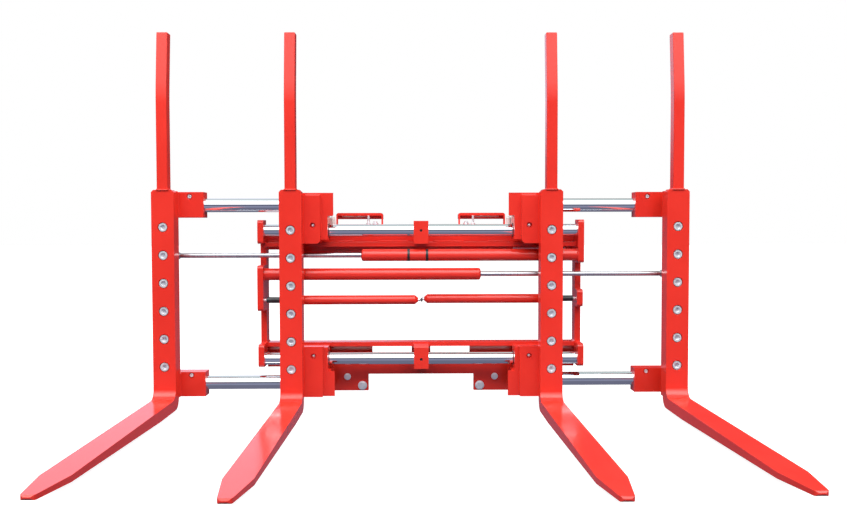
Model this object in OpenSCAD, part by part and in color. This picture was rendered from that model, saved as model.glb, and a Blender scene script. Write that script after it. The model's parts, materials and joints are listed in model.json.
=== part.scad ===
// Hydraulic four-fork pallet handler for a lift truck.
// Frame: origin on the rear bearing face of the upper beam, mid width.
// +X to the right as the driver looks forward, +Y towards the truck, +Z up.
// The load side is -Y. Millimetres. The forks are modelled spread to their widest.

/* [Forks] */
// Blade length from the front of the shank to the tip
fork_length = 1200; // [900:10:1300]
// Width of blade and shank
fork_width = 80; // [76:1:84]
// Thickness of the shank
shank_thick = 45; // [42:1:50]
// Thickness of the blade at the heel
blade_thick = 40; // [35:1:45]
// Thickness of the blade at its tip
tip_thick = 13; // [10:1:16]
// Width of the blade at its tip
tip_width = 38; // [34:1:50]
// Length of the pointed part of the blade
tip_taper = 175; // [140:5:220]
// Height of the outer blades' load surface
blade_top = -575; // [-580:1:-570]
// How much lower the inner forks hang
inner_drop = 11; // [0:1:14]
// Height of the wide part of the shank
shank_top = 173; // [171:1:180]

/* [Backrest bars] */
// Height of the bars' top ends
bar_top = 733; // [700:1:760]
// Width of a bar
bar_width = 39; // [34:1:44]
// Depth of a bar
bar_depth = 46; // [40:1:50]
// Angle that the upper part leans back
bar_lean = 6; // [3:1:8]

/* [Fork bolts] */
// Number of bolts in each fork
bolt_count = 6; // [5:1:6]
// Distance from bolt to bolt
bolt_pitch = 100; // [96:1:100]
// Height of the outer forks' top bolt
bolt_top = 40; // [36:1:44]

/* [Spread] */
// Distance from the middle to an outer fork, fully open
outer_x = 920; // [915:1:925]
// Distance from the middle to an inner fork, fully open
inner_x = 467; // [462:1:470]

/* [Shafts] */
// Radius of the shafts fixed in the frame
fixed_r = 22.5; // [21:0.5:23]
// Radius of the outer forks' sliding shafts
slide_r = 25; // [24:0.5:25]
// Height of the upper sliding shafts
slide_upper_z = 120; // [119:1:121]
// Height of the lower sliding shafts
slide_lower_z = -531; // [-533:1:-530]
// Height of the upper fixed shaft
fixed_upper_z = 27; // [25:1:30]
// Height of the lower fixed shaft
fixed_lower_z = -448; // [-449:1:-445]

/* [Cylinders and springs] */
// Radius of a cylinder barrel
barrel_r = 22; // [20:0.5:22]
// Radius of the bore in a barrel
bore_r = 16; // [15:0.5:16]
// Radius of a piston rod
rod_r = 9; // [8:0.5:10]
// Height of the cylinder that moves the left outer fork
left_cylinder_z = -64; // [-66:1:-62]
// Height of the cylinder that moves the right outer fork
right_cylinder_z = -134; // [-136:1:-132]
// Height of the gas springs
spring_z = -228; // [-230:1:-226]

/* [Frame] */
// Half of the frame's overall width
frame_half = 600; // [598:1:604]
// Thickness of the end plates
end_thick = 22; // [20:1:24]
// Top of the upper beam
beam_top = 49; // [46:1:50]

/* [Hidden] */
$fn = 64;
red = [0.84, 0.11, 0.08];
chrome = [0.80, 0.82, 0.85];
steel = [0.72, 0.72, 0.74];
black = [0.08, 0.08, 0.09];
nylon = [0.93, 0.93, 0.90];
left = -1;
right = 1;

// Depths, measured along Y from the bearing face
shank_front = -225;
shank_back = shank_front + shank_thick;
inner_carrier_back = shank_back + 20;
outer_carrier_back = shank_back + 24;
housing_back = -34;
cover_back = -155;
left_bracket_back = -94;
right_bracket_front = -100;
upper_block_back = -52;
lower_block_back = -66;
fixed_y = -97;
front_shaft_y = -127;
rear_shaft_y = -67;
cylinder_y = -107;
front_spring_y = -125;
rear_spring_y = -75;
plate_front = -25;
lower_plate_front = -20;

// Reach of the parts beside each fork, measured inboard from its centre
half_fork = fork_width / 2;
slide_block_start = 32;
upper_slide_reach = 133;
upper_cover_reach = 148;
upper_fixed_reach = 127;
lower_slide_reach = 135;
lower_cover_reach = 150;
lower_fixed_reach = 125;
left_bracket_reach = 131;
right_bracket_reach = 124;
bracket_web_reach = 20;

// Heights of the blocks that hold the shafts
inner_top = 164;
outer_top = 168;
carriage_bottom = -578;
outer_upper_low = 75;
outer_lower_high = -488;
inner_upper_step = 81;
inner_lower_step = -486;
fixed_upper_low = -6;
fixed_lower_high = -399;
ear_top = 66;
ear_bottom = -476;

// Front plates of the inner housings
upper_plate_reach = 102;
upper_plate_low = -20;
upper_plate_high = 153;
lower_plate_reach = 109;
lower_plate_high = -394;

// Fits
run_gap = 0.05;
bush_wall = 2.5;
pass_gap = 1;
over = 1;
bore_reach = 200;

// Fork bolts
bolt_r = 10;
bolt_head_r = 15;
bolt_head_h = 20;
bolt_sink_r = 17.5;
bolt_sink = 21.5;
bolt_hole_r = 11;
bolt_reach = 60;

// Grease nipples
nipple_x = 75;
nipple_r = 5;
nipple_thread = 10;
nipple_sink = 14;
nipple_recess_r = 10;
upper_nipple_z = 46;
lower_nipple_z = -429;

// Screws that hold the sliding shafts in their brackets
screw_x = 80;
screw_r = 4;
screw_head_r = 6.5;
screw_sink_r = 10;
screw_head_h = 8;
screw_length = 36;
upper_screw_z = 151;
lower_screw_z = -500.5;

// Cylinders, their ports and pipes
rod_lug_out = -15;
rod_lug_in = 20;
rod_thread_r = 7;
rod_end_in = 219;
gland_flange = 7;
gland_depth = 45;
spigot_r = 14;
boss_r = 8;
boss_end = -66;
left_ports = [-190, 540];
right_ports = [-480, -455];
pipe_r = 4;
pipe_y = -50;
front_pipe_y = -60;
back_pipe_y = -37;
block_x0 = 150;
block_x1 = 230;
block_low = -86;
block_front = -66;
port_r = 6.6;
port_depth = 14;
ports_x = [172, 208];
port_z = -73;

// Corner points of the steel pipes, from each port boss to the port block
pipe_routes = [
    [[-190, boss_end, -64], [-190, front_pipe_y, -64], [-190, front_pipe_y, -78],
     [block_x0, front_pipe_y, -78]],
    [[540, boss_end, -64], [540, pipe_y, -64], [540, pipe_y, -39], [350, pipe_y, -39],
     [350, pipe_y, -64], [block_x1, pipe_y, -64]],
    [[-480, boss_end, -134], [-480, pipe_y, -134], [-480, pipe_y, -64],
     [block_x0, pipe_y, -64]],
    [[-455, boss_end, -134], [-455, back_pipe_y, -134], [-455, back_pipe_y, -64],
     [block_x0, back_pipe_y, -64]]];

// Gas springs
spring_tube_r = 17;
spring_tube_bore = 14;
spring_tube_gap = 23;
spring_cone_r = 7;
spring_ball_r = 6;
spring_body_r = 11;
spring_body_wall = 2;
spring_rod_r = 5;
spring_out = 567;
spring_in = 245;
spring_piston_x = inner_x - 556;
spring_piston_length = 14;
spring_plate_half = 7;
spring_plate_reach = 36;
spring_plate_back = -50;
stud_r = 5;
slide_end = 335;

// Frame
inner_half = frame_half - end_thick;
flange_front = -88;
flange_low = -33;
flange_high = -16;
lower_flange_front = -62;
lower_flange_low = -408;
lower_flange_high = -392;
spine_front = -60;
ear_front = -130;
front_spring_ear = -140;
rear_spring_ear = -110;
bracket_half = 27;
bracket_front = -136;
set_screw_r = 5;

// Hooks
hook_in = 143;
hook_out = 320;
hook_top = 93;
hook_plate = 10;
hook_mouth = 23;
hook_lip = 70;
pad_thick = 6;
lower_hook_seat = -431;
lower_hook_lip = -413;
hook_bolt_depth = 24;
hook_bolt_head = 10;
// Bolts of a lower hook: distance from the middle, height, radius
hook_bolts = [[223, -563, 8], [280, -529, 6]];

// Depth of a side's own sliding shaft, of the opposite one, and of its gas spring
function own_y(side) = side == left ? front_shaft_y : rear_shaft_y;
function other_y(side) = side == left ? rear_shaft_y : front_shaft_y;
function spring_y(side) = side == left ? front_spring_y : rear_spring_y;
function other_spring_y(side) = side == left ? rear_spring_y : front_spring_y;
function rod_z(side) = side == left ? left_cylinder_z : right_cylinder_z;
function bracket_face(side) = side == left ? outer_carrier_back : right_bracket_front;
function arc(cx, cy, r, a0, a1, n = 10) =
    [for (i = [0:n]) let (a = a0 + (a1 - a0) * i / n) [cx + r * cos(a), cy + r * sin(a)]];

// Puts a carriage at its fork's centre, with local +X pointing inboard
module at_fork(side, distance) {
    translate([side * distance, 0, 0]) mirror([side == right ? 1 : 0, 0, 0]) children();
}

// A box from one corner to the opposite one
module box(low, high) {
    translate(low) cube(high - low);
}

// An outline in Y and Z, extruded along X from x0 to x1
module across(x0, x1, points) {
    translate([x0, 0, 0]) rotate([90, 0, 90]) linear_extrude(x1 - x0) polygon(points);
}

// A round bar along X from x0 to x1
module bar_x(x0, x1, y, z, r) {
    translate([min(x0, x1), y, z]) rotate([0, 90, 0]) cylinder(r = r, h = abs(x1 - x0));
}

// A round bar along Y from y0 to y1
module bar_y(x, y0, y1, z, r) {
    translate([x, y1, z]) rotate([90, 0, 0]) cylinder(r = r, h = y1 - y0);
}

// A round bar along Z from z0 to z1
module bar_z(x, y, z0, z1, r) {
    translate([x, y, z0]) cylinder(r = r, h = z1 - z0);
}

// Forks ---------------------------------------------------------------

module fork_side_profile(drop) {
    heel_r = 45;
    crease_r = 38;
    top = blade_top - drop;
    bottom = top - blade_thick;
    tip_y = shank_front - fork_length;
    taper_y = shank_front - 200;
    nose = 5;
    polygon(concat(
        [[shank_front, shank_top]],
        arc(shank_front - crease_r, top + crease_r, crease_r, 0, -90),
        [[tip_y + nose, top], [tip_y, top - nose], [tip_y, top - tip_thick + nose],
         [tip_y + nose, top - tip_thick], [taper_y, bottom]],
        arc(shank_back - heel_r, bottom + heel_r, heel_r, -90, 0),
        [[shank_back, shank_top]]));
}

module fork_plan() {
    tip_y = shank_front - fork_length;
    corner = 14;
    half_tip = tip_width / 2;
    right_side = concat(
        [[half_fork, shank_back], [half_fork, tip_y + tip_taper]],
        arc(half_tip - corner, tip_y + corner, corner, -12, -90, 6));
    left_side = [for (i = [len(right_side) - 1:-1:0]) [-right_side[i].x, right_side[i].y]];
    polygon(concat(right_side, left_side));
}

module fork_front() {
    chamfer = 8;
    low = blade_top - 2 * blade_thick;
    polygon([[-half_fork, low], [half_fork, low], [half_fork, shank_top - chamfer],
        [half_fork - chamfer, shank_top], [chamfer - half_fork, shank_top],
        [-half_fork, shank_top - chamfer]]);
}

module fork_at(drop) {
    room = 2 * fork_length;
    color(red) difference() {
        intersection() {
            rotate([90, 0, 90]) linear_extrude(fork_width, center = true)
                fork_side_profile(drop);
            translate([0, 0, -fork_length]) linear_extrude(room) fork_plan();
            rotate([90, 0, 0]) linear_extrude(room) fork_front();
        }
        for (i = [0:bolt_count - 1]) {
            z = bolt_top - drop - i * bolt_pitch;
            bar_y(0, shank_front - over, shank_back + over, z, bolt_hole_r);
            bar_y(0, shank_front - over, shank_front + bolt_sink, z, bolt_sink_r);
        }
    }
}

module fork_bolts_at(drop) {
    socket_r = 10;
    socket_depth = 10;
    color(steel) for (i = [0:bolt_count - 1]) {
        z = bolt_top - drop - i * bolt_pitch;
        head_front = shank_front + bolt_sink - bolt_head_h;
        difference() {
            union() {
                bar_y(0, head_front, shank_front + bolt_sink, z, bolt_head_r);
                bar_y(0, shank_front + bolt_sink, head_front + bolt_reach, z, bolt_r);
            }
            translate([0, head_front + socket_depth, z]) rotate([90, 0, 0])
                cylinder(r = socket_r, h = socket_depth + over, $fn = 6);
        }
    }
}

// Centre line of a backrest bar: upright, a gentle bend, then a straight lean
module backrest_bar_at() {
    bend_low = 470;
    bend_length = 95;
    steps = 8;
    mid_y = shank_front + shank_thick / 2;
    radius = bend_length / sin(bar_lean);
    half = bar_depth / 2;
    lean_run = bar_top - bend_low - bend_length;
    bend_top_y = mid_y + radius * (1 - cos(bar_lean));
    front = concat([[mid_y - half, shank_top]],
        arc(mid_y + radius, bend_low, radius + half, 180, 180 - bar_lean, steps),
        [[bend_top_y - half + lean_run * tan(bar_lean), bar_top]]);
    back = concat([[mid_y + half, shank_top]],
        arc(mid_y + radius, bend_low, radius - half, 180, 180 - bar_lean, steps),
        [[bend_top_y + half + lean_run * tan(bar_lean), bar_top]]);
    outline = concat(front, [for (i = [len(back) - 1:-1:0]) back[i]]);
    color(red) across(-bar_width / 2, bar_width / 2, outline);
}

// Carrier plates ------------------------------------------------------

module carrier_holes(back, drop) {
    for (i = [0:bolt_count - 1])
        bar_y(0, shank_back - over, back + over, bolt_top - drop - i * bolt_pitch, bolt_r);
}

module inner_carrier_plate_at() {
    color(red) difference() {
        box([-half_fork, shank_back, carriage_bottom],
            [half_fork, inner_carrier_back, inner_top]);
        carrier_holes(inner_carrier_back, inner_drop);
    }
}

module outer_carrier_plate_at(side) {
    lug_r = 23;
    color(red) difference() {
        union() {
            box([-half_fork, shank_back, carriage_bottom],
                [half_fork, outer_carrier_back, outer_top]);
            box([rod_lug_out, outer_carrier_back, rod_z(side) - lug_r],
                [rod_lug_in, cylinder_y, rod_z(side) + lug_r]);
            bar_x(rod_lug_out, rod_lug_in, cylinder_y, rod_z(side), lug_r);
        }
        carrier_holes(outer_carrier_back, 0);
        bar_x(rod_lug_out - over, rod_lug_in + over, cylinder_y, rod_z(side), rod_thread_r);
    }
}

// Inner carriages -----------------------------------------------------

// Bores of an inner housing: the fixed shaft, the carriage's own sliding
// shaft, and a clear way for the opposite side's sliding shaft
module inner_bores(side, fixed_z, slide_z) {
    bar_x(-bore_reach, bore_reach, fixed_y, fixed_z, fixed_r + bush_wall);
    bar_x(0, bore_reach, own_y(side), slide_z, slide_r + bush_wall);
    bar_x(0, bore_reach, other_y(side), slide_z, slide_r + pass_gap);
}

// Recess and thread for a grease nipple in the front of a housing
module nipple_hole(z) {
    bar_y(nipple_x, shank_back - over, shank_back + nipple_sink, z, nipple_recess_r);
    bar_y(nipple_x, shank_back, shank_back + nipple_sink + nipple_thread, z, nipple_r);
}

// Front plate of a housing, beside the carrier plate, with a round lower corner
module front_plate(reach, low, high, corner) {
    middle = (half_fork + reach) / 2;
    box([half_fork, shank_back, low], [reach - corner, inner_carrier_back, high]);
    box([middle, shank_back, low + corner], [reach, inner_carrier_back, high]);
    bar_y(reach - corner, shank_back, inner_carrier_back, low + corner, corner);
}

module inner_upper_housing_at(side) {
    color(red) difference() {
        union() {
            box([-half_fork, inner_carrier_back, fixed_upper_low],
                [slide_block_start, upper_block_back, ear_top]);
            box([slide_block_start, inner_carrier_back, fixed_upper_low],
                [upper_fixed_reach, upper_block_back, inner_upper_step]);
            box([slide_block_start, inner_carrier_back, inner_upper_step],
                [upper_slide_reach, housing_back, inner_top]);
            box([slide_block_start, inner_carrier_back, inner_upper_step],
                [upper_cover_reach, cover_back, inner_top]);
            front_plate(upper_plate_reach, upper_plate_low, upper_plate_high, 15);
        }
        inner_bores(side, fixed_upper_z, slide_upper_z);
        nipple_hole(upper_nipple_z);
    }
}

module inner_lower_housing_at(side) {
    color(red) difference() {
        union() {
            box([-half_fork, inner_carrier_back, ear_bottom],
                [slide_block_start, lower_block_back, fixed_lower_high]);
            box([slide_block_start, inner_carrier_back, inner_lower_step],
                [lower_fixed_reach, lower_block_back, fixed_lower_high]);
            box([slide_block_start, inner_carrier_back, carriage_bottom],
                [lower_slide_reach, housing_back, inner_lower_step]);
            box([slide_block_start, inner_carrier_back, carriage_bottom],
                [lower_cover_reach, cover_back, inner_lower_step]);
            front_plate(lower_plate_reach, carriage_bottom, lower_plate_high, 4);
        }
        inner_bores(side, fixed_lower_z, slide_lower_z);
        nipple_hole(lower_nipple_z);
    }
}

// One thin-walled bearing bush along X
module bush(x0, x1, y, z, r) {
    color([0.55, 0.45, 0.30]) difference() {
        bar_x(x0, x1, y, z, r + bush_wall);
        bar_x(x0 - over, x1 + over, y, z, r + run_gap);
    }
}

module inner_bushes_at(side) {
    bush(-half_fork, upper_fixed_reach, fixed_y, fixed_upper_z, fixed_r);
    bush(-half_fork, lower_fixed_reach, fixed_y, fixed_lower_z, fixed_r);
    bush(slide_block_start, upper_slide_reach, own_y(side), slide_upper_z, slide_r);
    bush(slide_block_start, lower_slide_reach, own_y(side), slide_lower_z, slide_r);
}

module grease_nipples_at() {
    base = shank_back + nipple_sink;
    neck_r = 3;
    neck_base = base - 2;
    neck_front = base - 7;
    head_r = 3.5;
    color(steel) for (z = [upper_nipple_z, lower_nipple_z]) {
        bar_y(nipple_x, neck_base, base + nipple_thread, z, nipple_r);
        bar_y(nipple_x, neck_front, neck_base, z, neck_r);
        translate([nipple_x, neck_front, z]) sphere(r = head_r);
    }
}

// Plate that ties the spring tube to the carriage and lets the other tube pass
module spring_bracket_at(side) {
    color(red) difference() {
        box([-spring_plate_half, inner_carrier_back, spring_z - spring_plate_reach],
            [spring_plate_half, spring_plate_back, spring_z + spring_plate_reach]);
        bar_x(-half_fork, half_fork, spring_y(side), spring_z, spring_tube_r);
        bar_x(-half_fork, half_fork, other_spring_y(side), spring_z,
            spring_tube_r + 2 * pass_gap);
    }
}

module spring_tube_at(side) {
    cone = 12;
    cap = 15;
    tube_end = inner_x - spring_tube_gap;
    color(red) difference() {
        union() {
            bar_x(-half_fork / 2, tube_end, spring_y(side), spring_z, spring_tube_r);
            translate([tube_end, spring_y(side), spring_z]) rotate([0, 90, 0])
                cylinder(r1 = spring_tube_r, r2 = spring_cone_r, h = cone);
        }
        bar_x(-half_fork, tube_end - cap, spring_y(side), spring_z, spring_tube_bore);
        bar_x(tube_end - cap - over, tube_end + cone + over, spring_y(side), spring_z,
            spring_rod_r);
    }
}

// Spring rod with its piston inside the gas barrel and its ball nut on the cap
module spring_rod_at(side) {
    ball_x = inner_x - spring_ball_r - 1;
    color(chrome) {
        bar_x(spring_piston_x, ball_x, spring_y(side), spring_z, spring_rod_r);
        bar_x(spring_piston_x, spring_piston_x + spring_piston_length, spring_y(side),
            spring_z, spring_body_r - spring_body_wall - run_gap);
        translate([ball_x, spring_y(side), spring_z]) sphere(r = spring_ball_r);
    }
}

// Outer carriages -----------------------------------------------------

// Holds only its own side's shaft; the opposite one passes behind the left
// brackets, and in front of the right ones through the web at the fork
module outer_bracket_at(side, low, high, slide_z, screw_z) {
    far = 200;
    front = bracket_face(side);
    back = side == left ? left_bracket_back : housing_back;
    reach = side == left ? left_bracket_reach : right_bracket_reach;
    color(red) difference() {
        union() {
            box([-half_fork, outer_carrier_back, low], [bracket_web_reach, back, high]);
            box([-half_fork, front, low], [reach, back, high]);
        }
        bar_x(-far, far, own_y(side), slide_z, slide_r);
        bar_x(-far, far, other_y(side), slide_z, slide_r + pass_gap);
        bar_y(screw_x, front - over, front + screw_length, screw_z, screw_r);
        bar_y(screw_x, front - over, front + screw_head_h, screw_z, screw_sink_r);
    }
}

module outer_upper_bracket_at(side) {
    outer_bracket_at(side, outer_upper_low, outer_top, slide_upper_z, upper_screw_z);
}

module outer_lower_bracket_at(side) {
    outer_bracket_at(side, carriage_bottom, outer_lower_high, slide_lower_z, lower_screw_z);
}

module retaining_screws_at(side) {
    socket_r = 3.5;
    socket_depth = 5;
    seat = bracket_face(side) + screw_head_h;
    head_front = bracket_face(side) + 1;
    color(steel) for (z = [upper_screw_z, lower_screw_z]) difference() {
        union() {
            bar_y(screw_x, head_front, seat, z, screw_head_r);
            bar_y(screw_x, seat, bracket_face(side) + screw_length, z, screw_r);
        }
        translate([screw_x, head_front + socket_depth, z]) rotate([90, 0, 0])
            cylinder(r = socket_r, h = 2 * socket_depth, $fn = 6);
    }
}

module slide_shafts_at(side) {
    color(chrome) for (z = [slide_upper_z, slide_lower_z])
        bar_x(2 - half_fork, outer_x - slide_end, own_y(side), z, slide_r);
}

// Rod, its piston, its threaded end through the lug, and the nuts on both sides
module piston_rod_at(side) {
    pull_out = 75;
    nut_gap = 3;
    piston_x = outer_x - rod_end_in + pull_out;
    piston_length = 25;
    nut_r = 13;
    nut_height = 12;
    color(chrome) {
        bar_x(rod_lug_in, piston_x, cylinder_y, rod_z(side), rod_r);
        bar_x(rod_lug_out - nut_height - nut_gap, rod_lug_in, cylinder_y, rod_z(side), rod_thread_r);
        bar_x(piston_x, piston_x + piston_length, cylinder_y, rod_z(side), bore_r - run_gap);
        for (x = [rod_lug_out - nut_height, rod_lug_in])
            translate([x, cylinder_y, rod_z(side)]) rotate([0, 90, 0])
                cylinder(r = nut_r, h = nut_height, $fn = 6);
    }
}

// Frame ---------------------------------------------------------------

module upper_beam() {
    low = -60;
    end_low = -45;
    cut_x = 500;
    slope = 15;
    color(red) union() {
        rotate([90, 0, 0]) linear_extrude(-plate_front)
            polygon([[-inner_half, end_low], [-cut_x - slope, end_low], [-cut_x, low],
                [cut_x, low], [cut_x + slope, end_low], [inner_half, end_low],
                [inner_half, beam_top], [-inner_half, beam_top]]);
        box([-inner_half, flange_front, flange_low], [inner_half, plate_front, flange_high]);
    }
}

module lower_beam() {
    low = -519;
    end_low = -490;
    ear_in = 200;
    ear_out = 335;
    ear_low = -582;
    slope = 40;
    window_low = -462;
    window_in = 36;
    window_out = 185;
    color(red) difference() {
        union() {
            box([-inner_half, lower_flange_front, lower_flange_low],
                [inner_half, 0, lower_flange_high]);
            rotate([90, 0, 0]) linear_extrude(-lower_plate_front)
                polygon([[-inner_half, end_low], [-ear_out - slope, end_low],
                    [-ear_out, low], [-ear_out, ear_low], [-ear_in, ear_low], [-ear_in, low],
                    [ear_in, low], [ear_in, ear_low], [ear_out, ear_low], [ear_out, low],
                    [ear_out + slope, end_low], [inner_half, end_low],
                    [inner_half, lower_flange_low], [-inner_half, lower_flange_low]]);
        }
        for (side = [left, right])
            box([min(side * window_in, side * window_out), lower_plate_front - over, window_low],
                [max(side * window_in, side * window_out), over, lower_flange_low]);
        for (side = [left, right], b = hook_bolts)
            bar_y(side * b.x, lower_plate_front - over, over, b.y, b.z);
    }
}

// End plates: a spine against the beams with ears that reach forward. An
// ear is its front, its low edge and its high edge.
module end_plate_at(side, ears) {
    r = 12;
    color(red) difference() {
        union() {
            box([inner_half, spine_front, ear_bottom + 2], [frame_half, 0, beam_top]);
            for (e = ears) {
                box([inner_half, e[0], e[1] + r], [frame_half, spine_front, e[2] - r]);
                box([inner_half, e[0] + r, e[1]], [frame_half, spine_front, e[2]]);
                for (z = [e[1] + r, e[2] - r]) bar_x(inner_half, frame_half, e[0] + r, z, r);
            }
        }
        for (z = [fixed_upper_z, fixed_lower_z])
            bar_x(inner_half - over, frame_half + over, fixed_y, z, fixed_r);
        bar_x(inner_half - over, frame_half + over, cylinder_y, rod_z(-side), spigot_r);
        bar_x(inner_half - over, frame_half + over, spring_y(side), spring_z, stud_r);
    }
}

module left_end_plate() {
    mirror([1, 0, 0]) end_plate_at(left,
        [[ear_front, -21, ear_top], [front_spring_ear, -268, -101],
         [ear_front, ear_bottom, -393]]);
}

module right_end_plate() {
    end_plate_at(right,
        [[ear_front, -93, ear_top], [rear_spring_ear, -257, -193],
         [ear_front, ear_bottom, -393]]);
}

module centre_bracket(z, points) {
    color(red) difference() {
        across(-bracket_half, bracket_half, points);
        bar_x(-2 * bracket_half, 2 * bracket_half, fixed_y, z, fixed_r);
        bar_y(0, bracket_front - over, fixed_y - fixed_r + over, z, set_screw_r);
    }
}

module upper_centre_bracket() {
    low = -22;
    high = 62;
    slope = 15;
    centre_bracket(fixed_upper_z, [[bracket_front, low], [flange_front, low],
        [flange_front, flange_high], [plate_front, flange_high], [plate_front, beam_top],
        [plate_front - slope, high], [bracket_front, high]]);
}

module lower_centre_bracket() {
    low = -483;
    high = -397;
    slope = 26;
    drop = 8;
    centre_bracket(fixed_lower_z, [[bracket_front, low], [lower_plate_front, low],
        [lower_plate_front, lower_flange_low], [lower_flange_front, lower_flange_low],
        [lower_flange_front, high], [bracket_front + slope, high],
        [bracket_front, high - drop]]);
}

module centre_set_screws() {
    socket_r = 2.9;
    socket_depth = 5;
    recess = 2;
    color(black) for (z = [fixed_upper_z, fixed_lower_z]) difference() {
        bar_y(0, bracket_front + recess, fixed_y - fixed_r, z, set_screw_r);
        translate([0, bracket_front + recess + socket_depth, z]) rotate([90, 0, 0])
            cylinder(r = socket_r, h = 2 * socket_depth, $fn = 6);
    }
}

module fixed_shafts() {
    recess = 4;
    color(chrome) for (z = [fixed_upper_z, fixed_lower_z])
        bar_x(recess - frame_half, frame_half - recess, fixed_y, z, fixed_r);
}

// Upper hooks: a bent plate that bridges the carriage's top edge
module upper_hooks() {
    front = -14;
    back = 43;
    leg = 6;
    bend = 9;
    hook_width = hook_out - hook_in;
    color(red) for (side = [left, right]) at_fork(side, hook_out) difference() {
        union() {
            box([bend, front, hook_top - hook_plate], [hook_width - bend, back, hook_top]);
            box([0, front, hook_top - hook_plate], [hook_width, back, hook_top - bend]);
            for (x = [bend, hook_width - bend])
                bar_y(x, front, back, hook_top - bend, bend);
            box([0, hook_mouth, hook_lip], [hook_width, back, hook_top - hook_plate]);
            for (x = [0, hook_width - leg])
                box([x, front, beam_top], [x + leg, 0, hook_top - hook_plate]);
        }
        box([leg, front - over, hook_lip], [hook_width - leg, hook_mouth,
            hook_top - hook_plate]);
    }
}

// Nylon wear pads: one in each hook and one beside it on the beam
module hook_pads() {
    inset = 22;
    length = 92;
    side_x = 333;
    side_r = 10;
    side_height = 22;
    y = -12;
    color(nylon) for (side = [left, right]) {
        at_fork(side, hook_out)
            box([inset, 0, hook_top - hook_plate - pad_thick],
                [inset + length, hook_mouth, hook_top - hook_plate]);
        bar_z(side * side_x, y, beam_top, beam_top + side_height, side_r);
        translate([side * side_x, y, beam_top + side_height]) sphere(r = side_r);
    }
}

// Latch of each hook: a spring post up to the hook and a round pin head beside it
module hook_latches() {
    post_x = 198;
    post_r = 4.5;
    foot_r = 8;
    foot_height = 6;
    head_x = 172;
    head_r = 11;
    knob_r = 7;
    y = -12;
    color(steel) for (side = [left, right]) {
        bar_z(side * post_x, y, beam_top, hook_top - hook_plate, post_r);
        bar_z(side * post_x, y, beam_top, beam_top + foot_height, foot_r);
        bar_z(side * head_x, y, beam_top, beam_top + foot_height, head_r);
        bar_z(side * head_x, y, beam_top, beam_top + 2 * foot_height, knob_r);
    }
}

module lower_hooks() {
    back = 46;
    foot = -582;
    hook_in_x = 205;
    hook_out_x = 325;
    lip_slope = 10;
    foot_slope = 40;
    foot_thick = 26;
    color(red) for (side = [left, right]) difference() {
        across(min(side * hook_in_x, side * hook_out_x), max(side * hook_in_x, side * hook_out_x),
            [[0, foot], [foot_thick, foot], [back, foot + foot_slope],
             [back, lower_hook_lip - lip_slope], [back - lip_slope, lower_hook_lip],
             [hook_mouth + 4, lower_hook_lip], [hook_mouth, lower_hook_seat],
             [0, lower_hook_seat]]);
        for (b = hook_bolts) bar_y(side * b.x, -over, hook_bolt_depth, b.y, b.z);
    }
}

module lower_hook_bolts() {
    color(steel) for (side = [left, right], b = hook_bolts) {
        bar_y(side * b.x, lower_plate_front, hook_bolt_depth, b.y, b.z);
        translate([side * b.x, lower_plate_front, b.y]) rotate([90, 0, 0])
            cylinder(r = 1.75 * b.z, h = hook_bolt_head, $fn = 6);
    }
}

// Cylinders: barrel, spigot in the end plate, bore, and port bosses behind
module cylinder_barrel(side, z, ports) {
    base = 30;
    color(red) difference() {
        union() {
            bar_x(side * inner_half, -side * (rod_end_in - gland_flange), cylinder_y, z, barrel_r);
            bar_x(side * inner_half, side * (frame_half - 3), cylinder_y, z, spigot_r);
            for (x = ports) bar_y(x, cylinder_y, boss_end, z, boss_r);
        }
        bar_x(side * (inner_half - base), -side * (rod_end_in + over), cylinder_y, z, bore_r);
    }
}

module left_cylinder_barrel() {
    cylinder_barrel(right, left_cylinder_z, left_ports);
}

module right_cylinder_barrel() {
    cylinder_barrel(left, right_cylinder_z, right_ports);
}

// Screwed-in rod guides with a chamfered collar
module rod_glands() {
    chamfer = 4;
    color(red) for (side = [left, right]) at_fork(side, rod_end_in) difference() {
        union() {
            translate([0, cylinder_y, rod_z(side)]) rotate([0, 90, 0])
                cylinder(r1 = barrel_r - chamfer, r2 = barrel_r, h = chamfer);
            bar_x(chamfer, gland_flange, cylinder_y, rod_z(side), barrel_r);
            bar_x(gland_flange, gland_depth, cylinder_y, rod_z(side), bore_r);
        }
        bar_x(-over, gland_depth + over, cylinder_y, rod_z(side), rod_r + run_gap);
    }
}

// A straight pipe from a to b
module run(a, b) {
    d = b - a;
    translate(a) rotate([0, acos(d.z / norm(d)), atan2(d.y, d.x)]) cylinder(r = pipe_r, h = norm(d));
}

module hydraulic_pipes() {
    color(steel) for (route = pipe_routes) {
        for (i = [0:len(route) - 2]) run(route[i], route[i + 1]);
        for (i = [1:len(route) - 2]) translate(route[i]) sphere(r = pipe_r);
    }
}

module port_block() {
    color(steel) difference() {
        box([block_x0, block_front, block_low], [block_x1, plate_front, flange_low]);
        for (x = ports_x) bar_y(x, plate_front - port_depth, plate_front + over, port_z, port_r);
    }
}

// Gas springs: black barrels on ball studs, hidden for most of their length
module gas_spring_barrels() {
    base = 6;
    head = 12;
    length = spring_out - spring_in;
    color(black) for (side = [left, right]) at_fork(side, spring_out) difference() {
        bar_x(0, length, spring_y(side), spring_z, spring_body_r);
        bar_x(base, length - head, spring_y(side), spring_z, spring_body_r - spring_body_wall);
        bar_x(base, length + over, spring_y(side), spring_z, spring_rod_r + run_gap);
    }
}

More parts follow.
